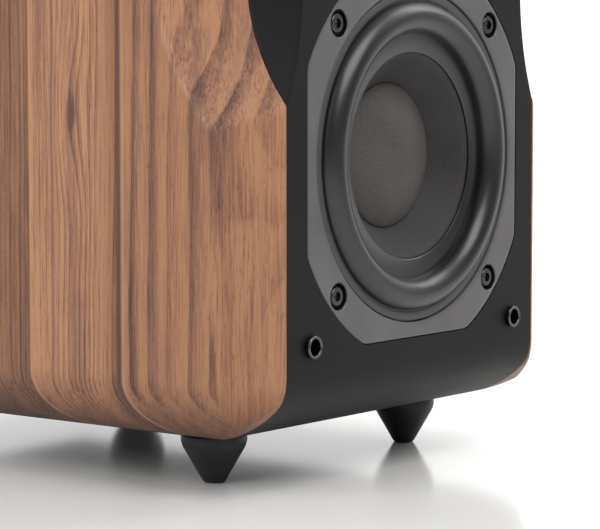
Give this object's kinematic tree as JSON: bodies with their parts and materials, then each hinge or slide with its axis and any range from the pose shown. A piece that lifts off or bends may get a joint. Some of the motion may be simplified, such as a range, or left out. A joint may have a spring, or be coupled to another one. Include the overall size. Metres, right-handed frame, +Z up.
{
  "type": "powered subwoofer",
  "caption": "Compact powered subwoofer: carved walnut cheeks, rolled black baffle, round driver in a flat-sided frame, tapered feet, rear port and amplifier panel.",
  "frame": {"origin": "on the floor, under the middle of the object's box", "axes": "+Z up, -Y the way the driver faces, +Y towards the amplifier panel, +X to the right of someone facing the driver"},
  "size_m": [0.232, 0.3146, 0.268],
  "materials": {
    "walnut": "satin oiled walnut",
    "black_lacquer": "black satin lacquer on fibreboard",
    "fibreboard": "raw fibreboard",
    "wadding": "polyester wadding",
    "grey_casting": "satin grey paint on a casting",
    "surround_rubber": "matt butyl rubber",
    "cone_paper": "coated pulp",
    "cap_paper": "matt pressed pulp",
    "former_aluminium": "plain foil",
    "copper_wire": "bare braided copper",
    "spider_cloth": "resin-dipped cloth",
    "zinc_steel": "zinc plate",
    "ferrite": "ground ferrite",
    "black_screw": "black oxide",
    "bright_rim": "bright nickel",
    "foot_plastic": "moulded, fine texture",
    "port_plastic": "moulded, fine texture",
    "plate_steel": "black powder coat",
    "sink_aluminium": "black anodised",
    "circuit_board": "green solder mask",
    "capacitor_sleeve": "shrunk sleeve",
    "transformer_tape": "wound polyester tape",
    "wire_jacket": "soft jacket",
    "shaft_aluminium": "turned",
    "control_plastic": "moulded satin",
    "gilt_brass": "gilt",
    "lamp_lens": "clear green"
  },
  "bodies": {
    "cabinet": {"cheek_right": "walnut", "cheek_left": "walnut", "front_baffle": "black_lacquer", "top_panel": "black_lacquer", "bottom_panel": "black_lacquer", "back_panel": "black_lacquer", "inner_wall_right": "fibreboard", "inner_wall_left": "fibreboard", "cross_brace": "fibreboard", "damping_pad_right": "wadding", "damping_pad_left": "wadding", "driver_frame": "grey_casting", "clamp_ring": "grey_casting", "surround": "surround_rubber", "braided_lead_right": "copper_wire", "braided_lead_left": "copper_wire", "spider": "spider_cloth", "top_plate": "zinc_steel", "pole_yoke": "zinc_steel", "volume_potentiometer": "zinc_steel", "crossover_potentiometer": "zinc_steel", "phase_switch": "zinc_steel", "magnet_ring": "ferrite", "driver_screw_1": "black_screw", "driver_screw_2": "black_screw", "driver_screw_3": "black_screw", "driver_screw_4": "black_screw", "grille_socket_1": "bright_rim", "grille_socket_2": "bright_rim", "grille_socket_3": "bright_rim", "grille_socket_4": "bright_rim", "foot_1": "foot_plastic", "foot_2": "foot_plastic", "foot_3": "foot_plastic", "foot_4": "foot_plastic", "port_tube": "port_plastic", "amp_plate": "plate_steel", "heat_sink": "sink_aluminium", "amp_board": "circuit_board", "capacitor_1": "capacitor_sleeve", "capacitor_2": "capacitor_sleeve", "mains_transformer": "transformer_tape", "speaker_lead": "wire_jacket", "rocker_housing": "control_plastic", "mains_inlet": "control_plastic", "terminal_strip": "control_plastic", "jack_left": "gilt_brass", "jack_right": "gilt_brass", "status_lamp": "lamp_lens"},
    "cone_body": {"cone": "cone_paper", "dust_cap": "cap_paper", "coil_former": "former_aluminium", "voice_coil": "copper_wire"},
    "volume_control": {"volume_knob": "control_plastic", "volume_shaft": "shaft_aluminium"},
    "crossover_control": {"crossover_knob": "control_plastic", "crossover_shaft": "shaft_aluminium"},
    "rocker": {"power_rocker": "control_plastic"},
    "phase_slider": {"phase_lever": "control_plastic"}
  },
  "joints": [
    {"name": "cone_travel", "type": "slide", "parent": "cabinet", "child": "cone_body", "axis": [0, -1, 0], "range_m": [-0.005, 0.005], "stiffness_N_per_m": 1200, "deforming": ["surround", "spider", "braided_lead_right", "braided_lead_left"]},
    {"name": "volume_turn", "type": "hinge", "parent": "cabinet", "child": "volume_control", "pos_m": [0.02, 0.1477, 0.1515], "axis": [0, 1, 0], "range_deg": [-150, 150]},
    {"name": "crossover_turn", "type": "hinge", "parent": "cabinet", "child": "crossover_control", "pos_m": [0.052, 0.1477, 0.1515], "axis": [0, 1, 0], "range_deg": [-150, 150]},
    {"name": "rocker_tilt", "type": "hinge", "parent": "cabinet", "child": "rocker", "pos_m": [0.058, 0.1406, 0.0995], "axis": [-1, 0, 0], "range_deg": [0, 16]},
    {"name": "phase_slide", "type": "slide", "parent": "cabinet", "child": "phase_slider", "axis": [1, 0, 0], "range_m": [0, 0.004]}
  ]
}
